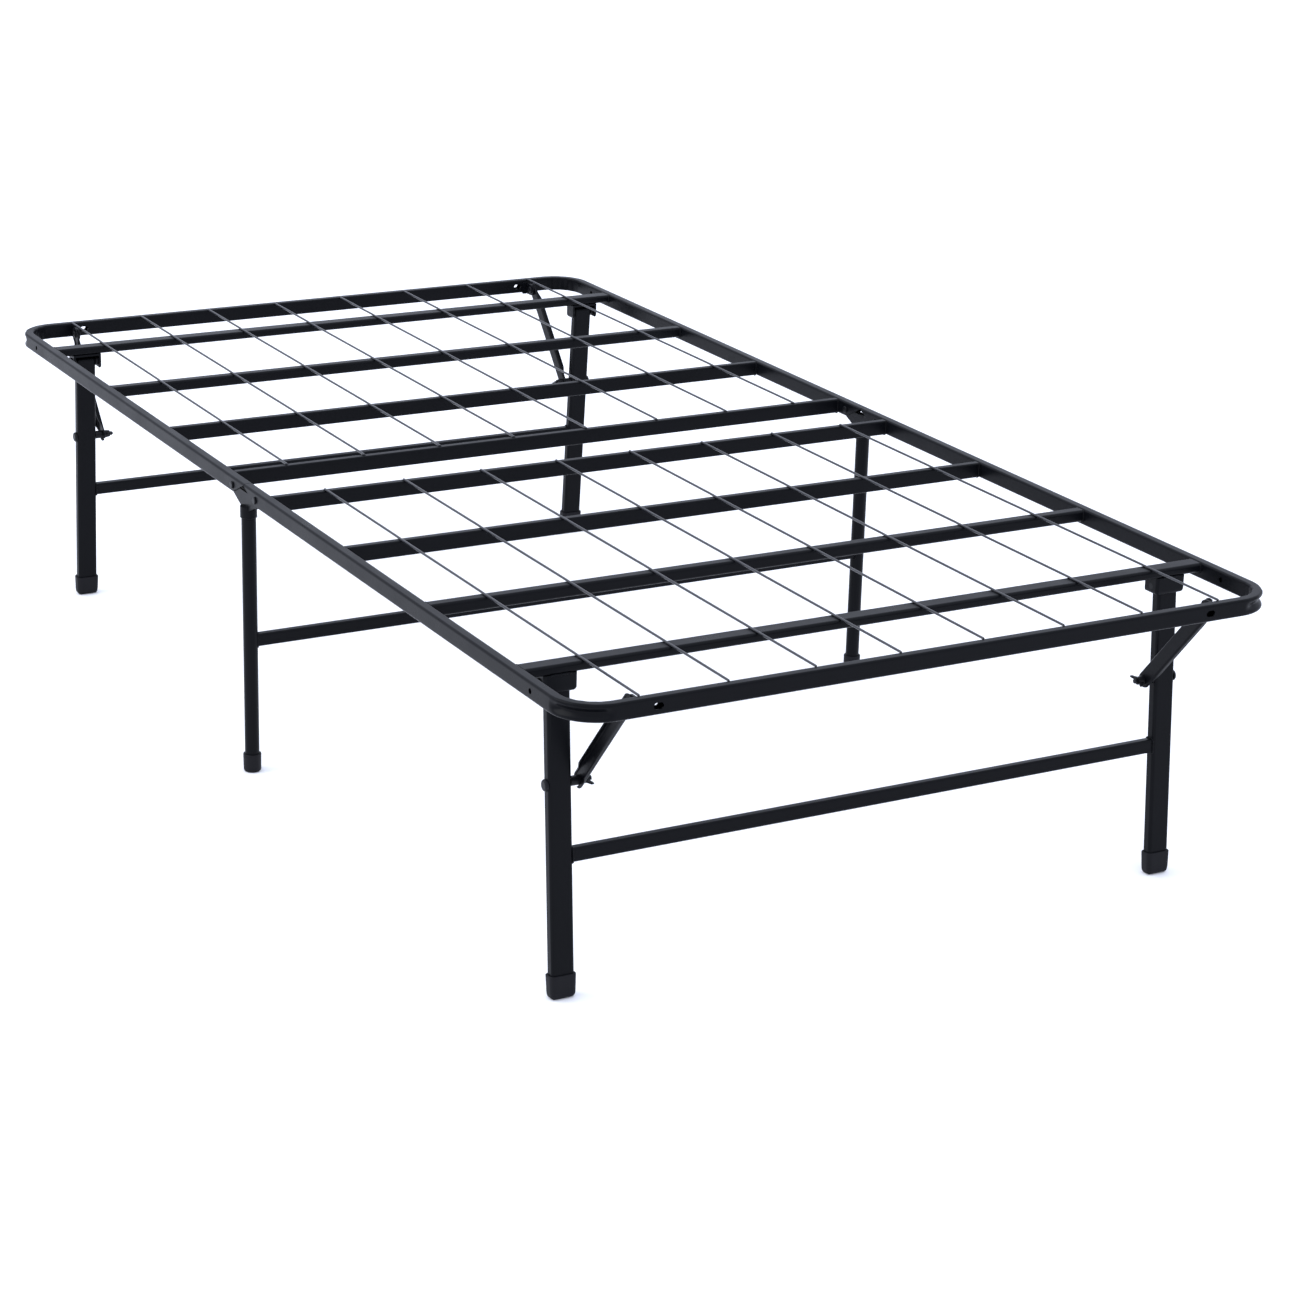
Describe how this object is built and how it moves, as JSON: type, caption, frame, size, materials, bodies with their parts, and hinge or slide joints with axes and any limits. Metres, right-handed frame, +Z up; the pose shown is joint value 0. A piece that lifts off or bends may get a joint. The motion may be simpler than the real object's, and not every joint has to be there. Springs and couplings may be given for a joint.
{
  "type": "folding metal platform bed frame",
  "caption": "Black folding platform bed frame: two bent-tube halves with cross tubes and wires, a centre hinge over two legs, and braced fold-in end legs.",
  "frame": {"origin": "centre of the footprint, on the floor", "axes": "+X to the right side, +Y to the head end along the length, +Z up"},
  "size_m": [0.999, 1.905, 0.414],
  "materials": {
    "powder_coat": "satin black powder coat on steel tube",
    "wire_coat": "satin black coated spring wire",
    "blackened_steel": "black oxide fasteners",
    "black_plastic": "moulded matt black polyethylene",
    "nylon": "black nylon"
  },
  "bodies": {
    "head_half": {"head_rail": "powder_coat", "head_wires": "wire_coat", "head_crossbar_1": "powder_coat", "head_crossbar_2": "powder_coat", "head_crossbar_3": "powder_coat", "head_crossbar_4": "powder_coat", "head_left_leg_hanger": "powder_coat", "head_right_leg_hanger": "powder_coat", "head_left_brace_tab": "powder_coat", "head_right_brace_tab": "powder_coat", "head_hanger_pins": "blackened_steel", "head_hanger_spacers": "nylon", "head_brace_rivets": "blackened_steel"},
    "centre_legs": {"centre_left_hinge": "powder_coat", "centre_right_hinge": "powder_coat", "centre_hinge_pins": "blackened_steel", "centre_left_leg": "powder_coat", "centre_right_leg": "powder_coat", "centre_stretcher": "powder_coat", "centre_left_foot_cap": "black_plastic", "centre_right_foot_cap": "black_plastic"},
    "foot_half": {"foot_rail": "powder_coat", "foot_wires": "wire_coat", "foot_crossbar_1": "powder_coat", "foot_crossbar_2": "powder_coat", "foot_crossbar_3": "powder_coat", "foot_crossbar_4": "powder_coat", "foot_left_leg_hanger": "powder_coat", "foot_right_leg_hanger": "powder_coat", "foot_left_brace_tab": "powder_coat", "foot_right_brace_tab": "powder_coat", "foot_hanger_pins": "blackened_steel", "foot_hanger_spacers": "nylon", "foot_brace_rivets": "blackened_steel"},
    "head_leg_frame": {"head_left_leg": "powder_coat", "head_right_leg": "powder_coat", "head_stretcher": "powder_coat", "head_left_foot_cap": "black_plastic", "head_right_foot_cap": "black_plastic", "head_leg_bolts": "blackened_steel", "head_bolt_sleeves": "blackened_steel"},
    "head_left_brace": {"head_left_brace": "powder_coat"},
    "head_left_wing_nut": {"head_left_wing_nut": "blackened_steel"},
    "head_right_brace": {"head_right_brace": "powder_coat"},
    "head_right_wing_nut": {"head_right_wing_nut": "blackened_steel"},
    "foot_leg_frame": {"foot_left_leg": "powder_coat", "foot_right_leg": "powder_coat", "foot_stretcher": "powder_coat", "foot_left_foot_cap": "black_plastic", "foot_right_foot_cap": "black_plastic", "foot_leg_bolts": "blackened_steel", "foot_bolt_sleeves": "blackened_steel"},
    "foot_left_brace": {"foot_left_brace": "powder_coat"},
    "foot_left_wing_nut": {"foot_left_wing_nut": "blackened_steel"},
    "foot_right_brace": {"foot_right_brace": "powder_coat"},
    "foot_right_wing_nut": {"foot_right_wing_nut": "blackened_steel"}
  },
  "joints": [
    {"name": "centre_fold", "type": "hinge", "parent": "head_half", "child": "centre_legs", "pos_m": [0, 0.04, 0.4], "axis": [1, 0, 0], "range_deg": [0, 90]},
    {"name": "foot_half_fold", "type": "hinge", "parent": "centre_legs", "child": "foot_half", "pos_m": [0, -0.04, 0.4], "axis": [1, 0, 0], "range_deg": [0, 90]},
    {"name": "head_legs_fold", "type": "hinge", "parent": "head_half", "child": "head_leg_frame", "pos_m": [0, 0.798, 0.386], "axis": [-1, 0, 0], "range_deg": [0, 94]},
    {"name": "head_left_brace_fold", "type": "hinge", "parent": "head_half", "child": "head_left_brace", "pos_m": [-0.4054, 0.921, 0.398], "axis": [-1, 0, 0], "range_deg": [0, 42.3]},
    {"name": "head_left_wing_nut_spin", "type": "hinge", "parent": "head_leg_frame", "child": "head_left_wing_nut", "pos_m": [-0.4, 0.80653, 0.264], "axis": [1, 0, 0], "continuous": true},
    {"name": "head_right_brace_fold", "type": "hinge", "parent": "head_half", "child": "head_right_brace", "pos_m": [0.4054, 0.921, 0.398], "axis": [-1, 0, 0], "range_deg": [0, 42.3]},
    {"name": "head_right_wing_nut_spin", "type": "hinge", "parent": "head_leg_frame", "child": "head_right_wing_nut", "pos_m": [0.4, 0.80653, 0.264], "axis": [1, 0, 0], "continuous": true},
    {"name": "foot_legs_fold", "type": "hinge", "parent": "foot_half", "child": "foot_leg_frame", "pos_m": [0, -0.798, 0.386], "axis": [1, 0, 0], "range_deg": [0, 94]},
    {"name": "foot_left_brace_fold", "type": "hinge", "parent": "foot_half", "child": "foot_left_brace", "pos_m": [-0.4054, -0.921, 0.398], "axis": [1, 0, 0], "range_deg": [0, 42.3]},
    {"name": "foot_left_wing_nut_spin", "type": "hinge", "parent": "foot_leg_frame", "child": "foot_left_wing_nut", "pos_m": [-0.4, -0.80653, 0.264], "axis": [1, 0, 0], "continuous": true},
    {"name": "foot_right_brace_fold", "type": "hinge", "parent": "foot_half", "child": "foot_right_brace", "pos_m": [0.4054, -0.921, 0.398], "axis": [1, 0, 0], "range_deg": [0, 42.3]},
    {"name": "foot_right_wing_nut_spin", "type": "hinge", "parent": "foot_leg_frame", "child": "foot_right_wing_nut", "pos_m": [0.4, -0.80653, 0.264], "axis": [1, 0, 0], "continuous": true}
  ],
  "couplings": [
    {"joint": "foot_half_fold", "follows": "centre_fold", "ratio": 1},
    {"joint": "head_legs_fold", "follows": "centre_fold", "ratio": 1.0444},
    {"joint": "head_left_brace_fold", "follows": "centre_fold", "ratio": 0.47},
    {"joint": "head_right_brace_fold", "follows": "centre_fold", "ratio": 0.47},
    {"joint": "foot_legs_fold", "follows": "centre_fold", "ratio": 1.0444},
    {"joint": "foot_left_brace_fold", "follows": "centre_fold", "ratio": 0.47},
    {"joint": "foot_right_brace_fold", "follows": "centre_fold", "ratio": 0.47}
  ]
}
